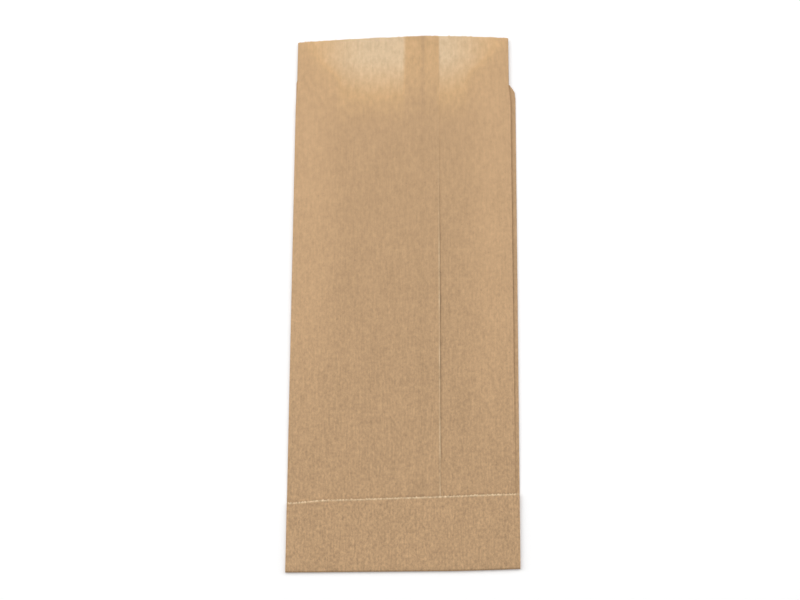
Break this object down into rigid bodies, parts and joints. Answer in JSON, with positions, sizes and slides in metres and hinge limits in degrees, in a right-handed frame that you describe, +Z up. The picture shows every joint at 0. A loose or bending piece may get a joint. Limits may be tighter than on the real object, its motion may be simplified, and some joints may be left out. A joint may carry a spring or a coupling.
{
  "type": "flat paper bag",
  "caption": "Empty flat paper bag with side gussets, a lengthwise glued seam, a turned-over bottom flap and a stepped mouth with a toothed edge.",
  "frame": {"origin": "on the resting plane, below the middle of the bag's bounding box", "axes": "+Y along the bag towards its mouth, +Z up out of the front wall, +X to the right of the front wall"},
  "size_m": [0.1, 0.25, 0.0052],
  "materials": {
    "kraft_paper": "matt"
  },
  "bodies": {
    "root": {"paper_bag": "kraft_paper"}
  },
  "joints": []
}
